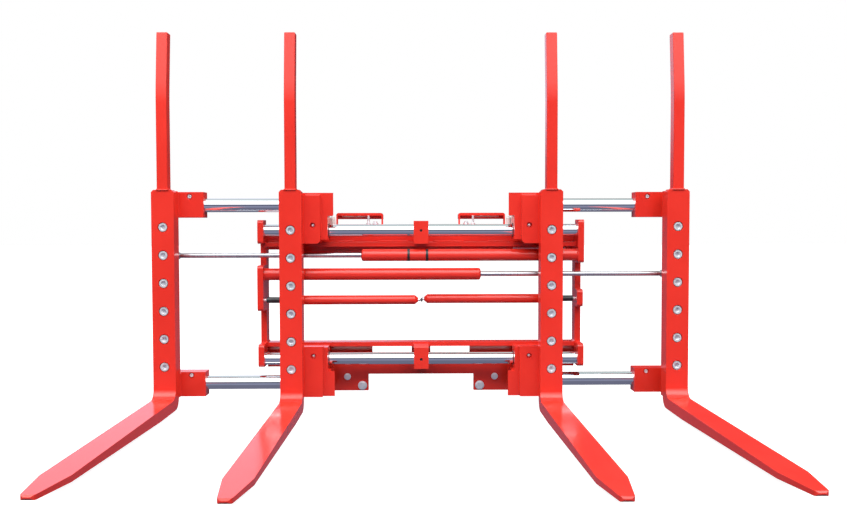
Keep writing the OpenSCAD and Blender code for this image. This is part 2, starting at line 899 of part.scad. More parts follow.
// Ball studs turned in one piece: stud in the end plate, ball, and neck to the barrel
module gas_spring_ball_studs() {
    ball_r = 5.5;
    neck_r = 3;
    length = frame_half - 2 - spring_out;
    color(steel) for (side = [left, right])
        at_fork(side, spring_out) translate([-length, spring_y(side), spring_z])
            rotate([0, 90, 0]) rotate_extrude() polygon(concat(
                [[0, 0], [stud_r, 0]],
                arc(0, length - ball_r, ball_r, -acos(stud_r / ball_r), acos(neck_r / ball_r)),
                [[neck_r, length], [0, length]]));
}

// The left inner carriage
module inner_left_fork() {
    at_fork(left, inner_x) fork_at(inner_drop);
}

module inner_left_backrest_bar() {
    at_fork(left, inner_x) backrest_bar_at();
}

module inner_left_carrier_plate() {
    at_fork(left, inner_x) inner_carrier_plate_at();
}

module inner_left_upper_housing() {
    at_fork(left, inner_x) inner_upper_housing_at(left);
}

module inner_left_lower_housing() {
    at_fork(left, inner_x) inner_lower_housing_at(left);
}

module inner_left_bushes() {
    at_fork(left, inner_x) inner_bushes_at(left);
}

module inner_left_fork_bolts() {
    at_fork(left, inner_x) fork_bolts_at(inner_drop);
}

module inner_left_grease_nipples() {
    at_fork(left, inner_x) grease_nipples_at();
}

module inner_left_spring_bracket() {
    at_fork(left, inner_x) spring_bracket_at(left);
}

module inner_left_spring_tube() {
    at_fork(left, inner_x) spring_tube_at(left);
}

module inner_left_spring_rod() {
    at_fork(left, inner_x) spring_rod_at(left);
}

// The right inner carriage
module inner_right_fork() {
    at_fork(right, inner_x) fork_at(inner_drop);
}

module inner_right_backrest_bar() {
    at_fork(right, inner_x) backrest_bar_at();
}

module inner_right_carrier_plate() {
    at_fork(right, inner_x) inner_carrier_plate_at();
}

module inner_right_upper_housing() {
    at_fork(right, inner_x) inner_upper_housing_at(right);
}

module inner_right_lower_housing() {
    at_fork(right, inner_x) inner_lower_housing_at(right);
}

module inner_right_bushes() {
    at_fork(right, inner_x) inner_bushes_at(right);
}

module inner_right_fork_bolts() {
    at_fork(right, inner_x) fork_bolts_at(inner_drop);
}

module inner_right_grease_nipples() {
    at_fork(right, inner_x) grease_nipples_at();
}

module inner_right_spring_bracket() {
    at_fork(right, inner_x) spring_bracket_at(right);
}

module inner_right_spring_tube() {
    at_fork(right, inner_x) spring_tube_at(right);
}

module inner_right_spring_rod() {
    at_fork(right, inner_x) spring_rod_at(right);
}

// The left outer carriage
module outer_left_fork() {
    at_fork(left, outer_x) fork_at(0);
}

module outer_left_backrest_bar() {
    at_fork(left, outer_x) backrest_bar_at();
}

module outer_left_carrier_plate() {
    at_fork(left, outer_x) outer_carrier_plate_at(left);
}

module outer_left_upper_bracket() {
    at_fork(left, outer_x) outer_upper_bracket_at(left);
}

module outer_left_lower_bracket() {
    at_fork(left, outer_x) outer_lower_bracket_at(left);
}

module outer_left_shafts() {
    at_fork(left, outer_x) slide_shafts_at(left);
}

module outer_left_retaining_screws() {
    at_fork(left, outer_x) retaining_screws_at(left);
}

module outer_left_fork_bolts() {
    at_fork(left, outer_x) fork_bolts_at(0);
}

module outer_left_piston_rod() {
    at_fork(left, outer_x) piston_rod_at(left);
}

// The right outer carriage
module outer_right_fork() {
    at_fork(right, outer_x) fork_at(0);
}

module outer_right_backrest_bar() {
    at_fork(right, outer_x) backrest_bar_at();
}

module outer_right_carrier_plate() {
    at_fork(right, outer_x) outer_carrier_plate_at(right);
}

module outer_right_upper_bracket() {
    at_fork(right, outer_x) outer_upper_bracket_at(right);
}

module outer_right_lower_bracket() {
    at_fork(right, outer_x) outer_lower_bracket_at(right);
}

module outer_right_shafts() {
    at_fork(right, outer_x) slide_shafts_at(right);
}

module outer_right_retaining_screws() {
    at_fork(right, outer_x) retaining_screws_at(right);
}

module outer_right_fork_bolts() {
    at_fork(right, outer_x) fork_bolts_at(0);
}

module outer_right_piston_rod() {
    at_fork(right, outer_x) piston_rod_at(right);
}

upper_beam();
lower_beam();
left_end_plate();
right_end_plate();
upper_centre_bracket();
lower_centre_bracket();
centre_set_screws();
fixed_shafts();
upper_hooks();
hook_pads();
hook_latches();
lower_hooks();
lower_hook_bolts();
left_cylinder_barrel();
right_cylinder_barrel();
rod_glands();
hydraulic_pipes();
port_block();
gas_spring_barrels();
gas_spring_ball_studs();
inner_left_fork();
inner_left_backrest_bar();
inner_left_carrier_plate();
inner_left_upper_housing();
inner_left_lower_housing();
inner_left_bushes();
inner_left_fork_bolts();
inner_left_grease_nipples();
inner_left_spring_bracket();
inner_left_spring_tube();
inner_left_spring_rod();
inner_right_fork();
inner_right_backrest_bar();
inner_right_carrier_plate();
inner_right_upper_housing();
inner_right_lower_housing();
inner_right_bushes();
inner_right_fork_bolts();
inner_right_grease_nipples();
inner_right_spring_bracket();
inner_right_spring_tube();
inner_right_spring_rod();
outer_left_fork();
outer_left_backrest_bar();
outer_left_carrier_plate();
outer_left_upper_bracket();
outer_left_lower_bracket();
outer_left_shafts();
outer_left_retaining_screws();
outer_left_fork_bolts();
outer_left_piston_rod();
outer_right_fork();
outer_right_backrest_bar();
outer_right_carrier_plate();
outer_right_upper_bracket();
outer_right_lower_bracket();
outer_right_shafts();
outer_right_retaining_screws();
outer_right_fork_bolts();
outer_right_piston_rod();
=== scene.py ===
"""Hydraulic four-fork pallet handler: looks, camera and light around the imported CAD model.

Lengths are metres in the CAD frame: +X right, +Y towards the truck, +Z up.
"""
import json
import math

import bmesh
import bpy
from mathutils import Matrix, Vector


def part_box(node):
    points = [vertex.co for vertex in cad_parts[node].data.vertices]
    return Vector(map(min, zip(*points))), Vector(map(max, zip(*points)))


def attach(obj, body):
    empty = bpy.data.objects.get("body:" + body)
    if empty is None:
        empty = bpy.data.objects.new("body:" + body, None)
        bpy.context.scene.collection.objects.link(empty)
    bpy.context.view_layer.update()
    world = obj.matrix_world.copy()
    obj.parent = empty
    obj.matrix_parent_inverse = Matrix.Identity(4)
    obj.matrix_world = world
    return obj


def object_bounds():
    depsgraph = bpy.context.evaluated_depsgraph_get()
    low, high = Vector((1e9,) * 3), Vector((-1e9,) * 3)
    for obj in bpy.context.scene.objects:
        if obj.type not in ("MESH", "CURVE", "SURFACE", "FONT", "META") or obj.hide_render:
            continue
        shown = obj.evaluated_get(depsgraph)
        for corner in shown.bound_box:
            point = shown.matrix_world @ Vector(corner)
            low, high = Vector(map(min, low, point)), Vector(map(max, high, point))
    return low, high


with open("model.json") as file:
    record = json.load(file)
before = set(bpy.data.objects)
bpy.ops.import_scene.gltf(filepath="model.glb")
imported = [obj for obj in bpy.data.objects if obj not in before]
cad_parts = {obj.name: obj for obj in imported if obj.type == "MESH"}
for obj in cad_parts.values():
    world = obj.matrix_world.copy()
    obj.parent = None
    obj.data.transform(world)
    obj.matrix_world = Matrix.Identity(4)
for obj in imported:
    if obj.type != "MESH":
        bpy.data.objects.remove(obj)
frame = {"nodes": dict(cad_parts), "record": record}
CAD_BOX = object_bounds()
NODES = frame["nodes"]
MM = 0.001

# Camera, found from the proportions of the forks
CAMERA_AT = Vector((-0.0307, -3.5592, 0.0395))
CAMERA_YAW = math.radians(0.66)
CAMERA_TILT = math.radians(2.30)
CAMERA_ROLL = math.radians(-0.11)
CAMERA_LENS = 39.7
SENSOR_WIDTH = 36.0

SIDES = {"left": -1, "right": 1}
BODIES = ("inner_left", "inner_right", "outer_left", "outer_right")


# Camera -------------------------------------------------------------------

def add_camera():
    """The camera stands in front of the forks at shaft height and looks slightly down."""
    forward = Vector((
        math.sin(CAMERA_YAW) * math.cos(CAMERA_TILT),
        math.cos(CAMERA_YAW) * math.cos(CAMERA_TILT),
        -math.sin(CAMERA_TILT)))
    right = Vector((math.cos(CAMERA_YAW), -math.sin(CAMERA_YAW), 0))
    up = right.cross(forward)
    right, up = (
        right * math.cos(CAMERA_ROLL) + up * math.sin(CAMERA_ROLL),
        up * math.cos(CAMERA_ROLL) - right * math.sin(CAMERA_ROLL))
    data = bpy.data.cameras.new("camera")
    data.lens = CAMERA_LENS
    data.sensor_width = SENSOR_WIDTH
    data.sensor_fit = "HORIZONTAL"
    data.clip_end = 100
    camera = bpy.data.objects.new("camera", data)
    turn = Matrix((right, up, -forward)).transposed()
    camera.matrix_world = Matrix.Translation(CAMERA_AT) @ turn.to_4x4()
    bpy.context.scene.collection.objects.link(camera)
    bpy.context.scene.camera = camera


# Materials ----------------------------------------------------------------

class Shader:
    """A material with one Principled shader and short calls for the nodes that feed it."""

    def __init__(self, name):
        self.material = bpy.data.materials.new(name)
        self.material.use_nodes = True
        self.tree = self.material.node_tree
        self.main = self.tree.nodes["Principled BSDF"]
        self.place = self.add("ShaderNodeTexCoord").outputs["Object"]

    def add(self, kind, **settings):
        node = self.tree.nodes.new(kind)
        for key, value in settings.items():
            setattr(node, key, value)
        return node

    def link(self, source, target):
        self.tree.links.new(source, target)

    def set(self, **values):
        for key, value in values.items():
            self.main.inputs[key.replace("_", " ")].default_value = value

    def noise(self, scale, detail=3.0, stretch=(1, 1, 1)):
        mapping = self.add("ShaderNodeMapping")
        mapping.inputs["Scale"].default_value = stretch
        self.link(self.place, mapping.inputs["Vector"])
        noise = self.add("ShaderNodeTexNoise")
        noise.inputs["Scale"].default_value = scale
        noise.inputs["Detail"].default_value = detail
        self.link(mapping.outputs["Vector"], noise.inputs["Vector"])
        return noise.outputs["Fac"]

    def ramp(self, value, low, high, start=0.35, end=0.65):
        ramp = self.add("ShaderNodeValToRGB")
        points = ramp.color_ramp.elements
        points[0].position, points[0].color = start, (*low, 1)
        points[1].position, points[1].color = end, (*high, 1)
        self.link(value, ramp.inputs["Fac"])
        return ramp.outputs["Color"]

    def spread(self, value, low, high):
        """Turns a 0 to 1 value into one from low to high."""
        node = self.add("ShaderNodeMapRange")
        node.inputs["To Min"].default_value = low
        node.inputs["To Max"].default_value = high
        self.link(value, node.inputs["Value"])
        return node.outputs["Result"]

    def bump(self, height, strength, distance):
        bump = self.add("ShaderNodeBump")
        bump.inputs["Strength"].default_value = strength
        bump.inputs["Distance"].default_value = distance
        self.link(height, bump.inputs["Height"])
        self.link(bump.outputs["Normal"], self.main.inputs["Normal"])


def red_paint():
    """Glossy enamel: slight shade changes, orange peel and a thin clear top layer."""
    s = Shader("red_paint")
    s.link(s.ramp(s.noise(5.0), (0.760, 0.0310, 0.0180), (0.820, 0.0370, 0.0225)),
           s.main.inputs["Base Color"])
    s.link(s.spread(s.noise(40.0, 5.0), 0.14, 0.24), s.main.inputs["Roughness"])
    s.set(Coat_Weight=0.12, Coat_Roughness=0.06, Specular_IOR_Level=0.5)
    s.bump(s.noise(240.0, 2.0), 0.08, 0.0005)
    return s.material


def chrome():
    """Hard chrome on ground shafts: fine rings round the axis and faint haze."""
    s = Shader("chrome")
    s.set(Metallic=1.0)
    s.link(s.ramp(s.noise(3.0), (0.78, 0.80, 0.84), (0.86, 0.87, 0.90)),
           s.main.inputs["Base Color"])
    s.link(s.spread(s.noise(9.0, 4.0, (40, 1, 1)), 0.04, 0.08), s.main.inputs["Roughness"])
    s.bump(s.noise(30.0, 2.0, (60, 1, 1)), 0.03, 0.0002)
    return s.material


def ground_chrome():
    """Duller chrome of the thin piston rods."""
    s = Shader("ground_chrome")
    s.set(Metallic=1.0)
    s.link(s.ramp(s.noise(7.0, 3.0, (30, 1, 1)), (0.52, 0.53, 0.56), (0.62, 0.63, 0.66)),
           s.main.inputs["Base Color"])
    s.link(s.spread(s.noise(12.0, 4.0, (40, 1, 1)), 0.24, 0.34), s.main.inputs["Roughness"])
    s.bump(s.noise(400.0, 2.0), 0.04, 0.0002)
    return s.material


def zinc_steel():
    """Zinc plated screws and fittings: bright, slightly blue, with a soft grain."""
    s = Shader("zinc_steel")
    s.set(Metallic=0.7)
    s.link(s.ramp(s.noise(60.0), (0.78, 0.79, 0.83), (0.92, 0.92, 0.95)),
           s.main.inputs["Base Color"])
    s.link(s.spread(s.noise(180.0, 4.0), 0.26, 0.40), s.main.inputs["Roughness"])
    s.bump(s.noise(900.0, 2.0), 0.15, 0.0002)
    return s.material


def black_enamel():
    """Satin black of the gas springs, bands and wipers."""
    s = Shader("black_enamel")
    s.link(s.ramp(s.noise(30.0), (0.010, 0.010, 0.012), (0.022, 0.022, 0.026)),
           s.main.inputs["Base Color"])
    s.link(s.spread(s.noise(90.0, 4.0), 0.28, 0.45), s.main.inputs["Roughness"])
    s.bump(s.noise(500.0, 2.0), 0.10, 0.0003)
    return s.material


def nylon():
    """Pale plastic of the hooks' pads, slightly see-through."""
    s = Shader("nylon")
    s.link(s.ramp(s.noise(20.0), (0.80, 0.80, 0.76), (0.88, 0.88, 0.85)),
           s.main.inputs["Base Color"])
    s.link(s.spread(s.noise(120.0, 4.0), 0.42, 0.58), s.main.inputs["Roughness"])
    s.set(Subsurface_Weight=0.08, Subsurface_Scale=0.004)
    s.bump(s.noise(700.0, 2.0), 0.12, 0.0003)
    return s.material


def bush_bronze():
    """Bearing bronze of the bushes."""
    s = Shader("bush_bronze")
    s.set(Metallic=0.9)
    s.link(s.ramp(s.noise(25.0), (0.42, 0.30, 0.16), (0.58, 0.44, 0.26)),
           s.main.inputs["Base Color"])
    s.link(s.spread(s.noise(200.0, 4.0), 0.30, 0.50), s.main.inputs["Roughness"])
    s.bump(s.noise(600.0, 2.0), 0.12, 0.0003)
    return s.material


MATERIALS = {f.__name__: f() for f in
             (red_paint, chrome, ground_chrome, zinc_steel, black_enamel, nylon, bush_bronze)}
# Nodes that look other than their slot's material
FINISHES = {"outer_left_piston_rod": "ground_chrome", "outer_right_piston_rod": "ground_chrome",
            "port_block": "red_paint"}


# CAD nodes: finish and softened edges ---------------------------------------

def edge_width(node):
    """Radius of a node's softened edges."""
    if node.endswith("_fork"):
        return 3.5 * MM
    if node.endswith("backrest_bar"):
        return 3.0 * MM
    if node.endswith(("housing", "bracket")) or "plate" in node or "beam" in node:
        return 1.6 * MM
    if node.endswith(("bolts", "screws", "nipples", "bushes", "pipes", "latches")):
        return 0.5 * MM
    return 1.0 * MM


def finish_cad_nodes():
    """Every CAD node keeps its mesh, and gets its slot's material or its listed finish, and
    rounded edges.
    """
    slots = {s["node"]: s["material_slot"] for s in frame["record"]["subparts"]}
    for name, piece in NODES.items():
        piece.data.materials.clear()
        piece.data.materials.append(MATERIALS[FINISHES.get(name, slots[name])])
        weld = piece.modifiers.new("join", "WELD")
        weld.merge_threshold = 0.01 * MM
        flat = piece.modifiers.new("flat", "DECIMATE")
        flat.decimate_type = "DISSOLVE"
        flat.angle_limit = math.radians(0.5)
        bevel = piece.modifiers.new("edges", "BEVEL")
        bevel.width = edge_width(name)
        bevel.segments = 3
        bevel.limit_method = "ANGLE"
        bevel.angle_limit = math.radians(35)
        bevel.harden_normals = True
        for face in piece.data.polygons:
            face.use_smooth = True
        normals = piece.modifiers.new("normals", "WEIGHTED_NORMAL")
        normals.keep_sharp = True
        normals.weight = 100


# Welds, seals, bands and nuts -------------------------------------------------

# Sizes in millimetres. Heights and depths repeat the CAD's; the rest comes from the nodes' boxes.
WELD_R = 4.0
WELD_STEP = 2.0
WELD_PITCH = 6.5
FLANGE = {"front": -88, "low": -33, "high": -16}
LOWER_FLANGE = {"front": -62, "low": -408, "high": -392}
BEAM_FRONT = -25
LOWER_BEAM_FRONT = -20
OUTER_PLATE_Y = -156
SHAFT_Y = -97
FIXED_Z = {"upper": 27, "lower": -448}
FIXED_R = 22.5
OWN_Y = {"left": -127, "right": -67}
SLIDE_Z = {"upper": 120, "lower": -531}
SLIDE_R = 25.0
SPRING_Y = {"left": -125, "right": -75}
SPRING_Z = -228
SPRING_TUBE_R = 17.0
SPRING_PLATE_HALF = 7
CYLINDER_Y = -107
ROD_Z = {"left": -64, "right": -134}
BARREL_R = 22.0
ROD_R = 9.0
GLAND_X = 219.5
BAND_X = (-46, 22)
BOSSES = ((-190, -64), (540, -64), (-480, -134), (-455, -134))
BOSS_NUT_Y = -61
BLOCK_NUTS = ((144, -60, -78), (144, -50, -64), (144, -37, -64), (236, -50, -64))
HOOK_BOLTS = ((223, -563, 8), (280, -529, 6))
HOOK_FOOT_X = 143
HOOK_FOOT_LEG = 6

# Welds: stretches along X on the beams, and along Z on the carriages, in millimetres
UPPER_STITCHES = ((48, 162), (252, 372), (460, 570))
LOWER_STITCHES = ((40, 180), (210, 320), (400, 560))
EDGE_U = 40
INNER_UPPER_PLATE = {"reach": 102, "low": -5, "high": 153}
INNER_LOWER_PLATE = {"reach": 109, "low": -574, "high": -398}
INNER_EDGES = ((-4, 64), (-474, -401))
OUTER_EDGES = ((77, 166), (-576, -490))
OUTER_WEB = {"left": 40, "right": 20}
ROD_LUG = {"out": -15, "in": 20, "half": 23}
AXES = {"x": Vector((1, 0, 0)), "y": Vector((0, 1, 0)), "z": Vector((0, 0, 1))}


class Piece:
    """An extra piece made of welds, rings or nuts in one mesh. Its calls take millimetres."""

    def __init__(self):
        self.mesh = bmesh.new()

    def skin(self, rows, closed=False):
        """Joins rows of points into a tube, with flat ends unless it closes on itself."""
        rows = [[self.mesh.verts.new(Vector(p) * MM) for p in row] for row in rows]
        for a, b in zip(rows, rows[1:] + rows[:1] if closed else rows[1:]):
            for i in range(len(a)):
                j = (i + 1) % len(a)
                self.mesh.faces.new((a[i], a[j], b[j], b[i]))
        if not closed:
            self.mesh.faces.new(reversed(rows[0]))
            self.mesh.faces.new(rows[-1])

    def bead(self, *points, radius=WELD_R, closed=False, sides=8):
        """A rippled weld along straight stretches between points."""
        points = [Vector(p) for p in points]
        stretches = list(zip(points, points[1:] + points[:1] if closed else points[1:]))
        path = []
        for a, b in stretches:
            count = max(1, round((b - a).length / WELD_STEP))
            path += [a.lerp(b, i / count) for i in range(count)]
        if not closed:
            path.append(points[-1])
        rows = []
        for i, place in enumerate(path):
            before = path[i - 1] if i or closed else place
            after = path[(i + 1) % len(path)] if closed or i < len(path) - 1 else place
            along = (after - before).normalized()
            out = along.cross(Vector((0.31, 0.52, 0.79))).normalized()
            up = along.cross(out)
            size = radius * (0.92 + 0.14 * abs(math.sin(math.pi * i * WELD_STEP / WELD_PITCH)))
            if not closed and i in (0, len(path) - 1):
                size *= 0.6
            rows.append([place + size * (out * math.cos(t) + up * math.sin(t))
                         for t in (2 * math.pi * k / sides for k in range(sides))])
        self.skin(rows, closed)

    def bead_round(self, x, y, z, radius, weld=WELD_R):
        """A weld round a bar along X."""
        count = max(12, round(2 * math.pi * radius / WELD_STEP))
        turns = (2 * math.pi * k / count for k in range(count))
        self.bead(*[(x, y + radius * math.cos(t), z + radius * math.sin(t)) for t in turns],
                  radius=weld, closed=True)

    def turned(self, centre, axis, profile, segments=48):
        """A ring turned about an axis from a closed outline of (place along, radius)."""
        along = AXES[axis]
        out, up = [AXES[a] for a in "xyz" if a != axis]
        centre = Vector(centre)
        self.skin([[centre + along * a + r * (out * math.cos(t) + up * math.sin(t))
                    for a, r in profile]
                   for t in (2 * math.pi * k / segments for k in range(segments))], closed=True)

    def ring(self, centre, axis, inner, outer, width):
        """A flat ring with broken corners, centred along its axis."""
        half = width / 2
        cut = min(half, outer - inner) * 0.35
        self.turned(centre, axis, [
            (-half, inner), (-half, outer - cut), (cut - half, outer), (half - cut, outer),
            (half, outer - cut), (half, inner)])

    def nut(self, centre, axis, radius, height):
        """A chamfered hexagon nut, centred along its axis."""
        along = AXES[axis]
        out, up = [AXES[a] for a in "xyz" if a != axis]
        centre = Vector(centre)
        rows = []
        for place, share in ((-0.5, 0.88), (-0.38, 1.0), (0.38, 1.0), (0.5, 0.88)):
            rows.append([centre + along * place * height
                         + share * radius * (out * math.cos(t) + up * math.sin(t))
                         for t in (math.pi * k / 3 for k in range(6))])
        self.skin(rows)

    def add(self, name, body, slot):
        bmesh.ops.recalc_face_normals(self.mesh, faces=self.mesh.faces)
        mesh = bpy.data.meshes.new(name)
        self.mesh.to_mesh(mesh)
        self.mesh.free()
        mesh.polygons.foreach_set("use_smooth", [True] * len(mesh.polygons))
        mesh.set_sharp_from_angle(angle=math.radians(38))
        mesh.materials.append(MATERIALS[slot])
        piece = bpy.data.objects.new(name, mesh)
        bpy.context.scene.collection.objects.link(piece)
        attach(piece, body)


def limits(node):
    """Lowest and highest corner of a CAD node in millimetres."""
    return [[c / MM for c in corner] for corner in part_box(node)]


def carriage_place(body):
    """A carriage's side (-1 or 1), its word and the x of its fork's middle."""
    low, high = limits(body + "_fork")
    side = 1 if low[0] > 0 else -1
    return side, "right" if side > 0 else "left", (low[0] + high[0]) / 2


def frame_welds():
    """Stitches along the two flanges, and welds at the end plates and round their bars."""
    low, high = limits("upper_beam")
    end, beam_top = high[0], high[2]
    beam_end_low, lower_end_low = -45, -490
    piece = Piece()
    for side in SIDES.values():
        for start, stop in UPPER_STITCHES:
            for height, radius in ((FLANGE["high"], 5.5), (FLANGE["low"], WELD_R)):
                piece.bead((side * start, BEAM_FRONT, height),
                           (side * stop, BEAM_FRONT, height), radius=radius)
        for start, stop in LOWER_STITCHES:
            piece.bead((side * start, LOWER_BEAM_FRONT, LOWER_FLANGE["low"]),
                       (side * stop, LOWER_BEAM_FRONT, LOWER_FLANGE["low"]))
        x = side * end
        piece.bead((x, BEAM_FRONT, beam_top), (x, BEAM_FRONT, FLANGE["high"]),
                   (x, FLANGE["front"], FLANGE["high"]))
        piece.bead((x, FLANGE["front"], FLANGE["low"]), (x, BEAM_FRONT, FLANGE["low"]),
                   (x, BEAM_FRONT, beam_end_low))
        piece.bead((x, LOWER_FLANGE["front"], LOWER_FLANGE["high"]),
                   (x, -2, LOWER_FLANGE["high"]))
        piece.bead((x, LOWER_FLANGE["front"], LOWER_FLANGE["low"]),
                   (x, LOWER_BEAM_FRONT, LOWER_FLANGE["low"]),
                   (x, LOWER_BEAM_FRONT, lower_end_low))
    for side, word in ((1, "left"), (-1, "right")):
        piece.bead_round(side * end, CYLINDER_Y, ROD_Z[word], BARREL_R, 3.5)
    for side in SIDES.values():
        for z in FIXED_Z.values():
            piece.bead_round(side * (end + 20), SHAFT_Y, z, FIXED_R - 1, 2.5)
    piece.add("frame_welds", "frame", "red_paint")


def bracket_welds():
    """Welds round the two centre brackets, the hooks' feet and the port block."""
    piece = Piece()
    low, high = limits("upper_centre_bracket")
    block_top = 44
    for x in (low[0], high[0]):
        piece.bead((x, FLANGE["front"], FLANGE["high"]), (x, BEAM_FRONT, FLANGE["high"]),
                   (x, BEAM_FRONT, block_top))
    low, high = limits("lower_centre_bracket")
    for x in (low[0], high[0]):
        piece.bead((x, LOWER_FLANGE["front"], high[2] - 2),
                   (x, LOWER_FLANGE["front"], LOWER_FLANGE["low"]),
                   (x, LOWER_BEAM_FRONT, LOWER_FLANGE["low"]),
                   (x, LOWER_BEAM_FRONT, low[2] + 4), radius=3.2)
    low, high = limits("upper_hooks")
    beam_top = low[2]
    for side in SIDES.values():
        for outer, inner in ((high[0], high[0] - HOOK_FOOT_LEG),
                             (HOOK_FOOT_X + HOOK_FOOT_LEG, HOOK_FOOT_X)):
            piece.bead((side * inner, low[1], beam_top), (side * outer, low[1], beam_top),
                       radius=3.0)
    low, high = limits("port_block")
    piece.bead((low[0], low[1], high[2]), (high[0], low[1], high[2]), radius=3.0)
    piece.add("bracket_welds", "frame", "red_paint")


def inner_welds(piece, body, at):
    """Welds of an inner carriage's two front plates and of its spring tube."""
    side, word, centre = carriage_place(body)
    plate_y = limits(body + "_carrier_plate")[1][1]
    reach, low, high = INNER_UPPER_PLATE.values()
    piece.bead(at(EDGE_U + 6, plate_y - 3, high + 2), at(reach, plate_y - 3, high + 2),
               radius=5.5)
    piece.bead(at(reach, plate_y, high + 2), at(reach, plate_y, low + 12), radius=4.5)
    reach, low, high = INNER_LOWER_PLATE.values()
    piece.bead(at(EDGE_U + 2, plate_y, high), at(reach, plate_y, high), at(reach, plate_y, low))
    for z0, z1 in INNER_EDGES:
        piece.bead(at(1 - EDGE_U, plate_y, z0), at(1 - EDGE_U, plate_y, z1), radius=3.5)
    for u in (SPRING_PLATE_HALF, -SPRING_PLATE_HALF):
        piece.bead(at(u, plate_y, SPRING_Z - 35), at(u, plate_y, SPRING_Z + 35), radius=3.5)
        piece.bead_round(centre - side * u, SPRING_Y[word], SPRING_Z, SPRING_TUBE_R, 2.5)


def outer_welds(piece, word, at):
    """Welds of an outer carriage's two brackets and of its rod lug."""
    plate_y, web = OUTER_PLATE_Y, OUTER_WEB[word]
    for z0, z1 in OUTER_EDGES:
        piece.bead(at(web, plate_y, z0), at(web, plate_y, z1))
        piece.bead(at(1 - EDGE_U, plate_y, z0), at(1 - EDGE_U, plate_y, z1), radius=3.0)
    (upper_low, upper_high), (_, lower_high) = OUTER_EDGES
    for z, radius in ((upper_low - 2, WELD_R), (lower_high + 2, WELD_R), (upper_high + 2, 3.0)):
        piece.bead(at(2 - EDGE_U, plate_y, z), at(web - 2, plate_y, z), radius=radius)
    outboard, inboard, half = ROD_LUG.values()
    z = ROD_Z[word]
    piece.bead(at(outboard, plate_y, z - half), at(inboard, plate_y, z - half),
               at(inboard, plate_y, z + half), at(outboard, plate_y, z + half),
               radius=3.0, closed=True)


def carriage_welds(body):
    """Welds of one carriage: bar foot, plate edges and the blocks behind the carrier plate."""
    side, word, centre = carriage_place(body)

    def at(u, y, z):
        """A point u inboard of the fork's middle."""
        return (centre - side * u, y, z)

    piece = Piece()
    bar_low, bar_high = limits(body + "_backrest_bar")
    half = (bar_high[0] - bar_low[0]) / 2
    fork_high = limits(body + "_fork")[1]
    top = fork_high[2]
    front, back = bar_low[1], fork_high[1] - 0.5
    piece.bead(at(half, front, top), at(-half, front, top), at(-half, back, top),
               at(half, back, top), radius=3.5, closed=True)
    if body.startswith("inner"):
        inner_welds(piece, body, at)
    else:
        outer_welds(piece, word, at)
    piece.add(body + "_welds", body, "red_paint")


def shaft_seals(body):
    """Rubber wipers where the shafts enter an inner carriage's housings."""
    side, word, centre = carriage_place(body)
    thick, proud = 2.4, 0.5
    piece = Piece()
    # Each shaft's outboard and inboard face on the upper and on the lower housing
    fixed = {"upper": (-40, 127), "lower": (-40, 125)}
    sliding = {"upper": (32, 133), "lower": (32, 135)}
    for faces, y, heights, radius in ((fixed, SHAFT_Y, FIXED_Z, FIXED_R),
                                      (sliding, OWN_Y[word], SLIDE_Z, SLIDE_R)):
        for level, (outboard, inboard) in faces.items():
            for u in (outboard - proud, inboard + proud):
                piece.ring((centre - side * u, y, heights[level]), "x",
                           radius + 0.1, radius + 4.5, thick)
    piece.add(body + "_wipers", body, "black_enamel")


def cylinder_fittings():
    """Black bands on the upper barrel, rod wipers in the glands, and the pipes' nuts."""
    bands = Piece()
    for x in BAND_X:
        bands.ring((x, CYLINDER_Y, ROD_Z["left"]), "x", BARREL_R - 0.5, BARREL_R + 0.6, 9.5)
    for word, side in SIDES.items():
        bands.ring((side * GLAND_X, CYLINDER_Y, ROD_Z[word]), "x", ROD_R + 0.1, ROD_R + 4, 2.5)
    bands.add("cylinder_bands", "frame", "black_enamel")
    nuts = Piece()
    for x, z in BOSSES:
        nuts.nut((x, BOSS_NUT_Y, z), "y", 9.0, 11)
    for place in BLOCK_NUTS:
        nuts.nut(place, "x", 6.4, 12)
    nuts.add("pipe_nuts", "frame", "zinc_steel")
    ball = Piece()
    ball.ring((2, SPRING_Y["left"], SPRING_Z), "x", 4.5, 7.5, 6)
    ball.add("spring_ball_ring", "inner_left", "black_enamel")


def hook_washers():
    """Washers under the lower hooks' bolts."""
    piece = Piece()
    for side in SIDES.values():
        for x, z, r in HOOK_BOLTS:
            piece.ring((side * x, LOWER_BEAM_FRONT - 1, z), "y", r, 2.15 * r, 2.4)
    piece.add("hook_washers", "frame", "zinc_steel")


def add_details():
    """Every extra piece, each on its own body."""
    frame_welds()
    bracket_welds()
    cylinder_fittings()
    hook_washers()
    for body in BODIES:
        carriage_welds(body)
        if body.startswith("inner"):
            shaft_seals(body)


# Studio -------------------------------------------------------------------

FLOOR_HALF = 30
FLOOR_GAP = 0.5 * MM
LIGHT_TARGET = Vector((0, -0.4, -0.2))
LIGHT_DISTANCE = 5.0


def add_floor():
    """A pale floor just under the forks, almost as bright as the background."""
    low = CAD_BOX[0][2] - FLOOR_GAP
    corners = ((-1, -1), (1, -1), (1, 1), (-1, 1))
    mesh = bpy.data.meshes.new("floor")
    mesh.from_pydata([(x * FLOOR_HALF, y * FLOOR_HALF, low) for x, y in corners],
                     [], [(0, 1, 2, 3)])
    floor = bpy.data.objects.new("floor", mesh)
    s = Shader("floor")
    s.set(Roughness=1.0, Specular_IOR_Level=0.0, Emission_Strength=0.94)
    s.main.inputs["Base Color"].default_value = (0.50, 0.50, 0.50, 1)
    s.main.inputs["Emission Color"].default_value = (1, 1, 1, 1)
    mesh.materials.append(s.material)
    floor.visible_glossy = False
    floor.visible_diffuse = False
    bpy.context.scene.collection.objects.link(floor)


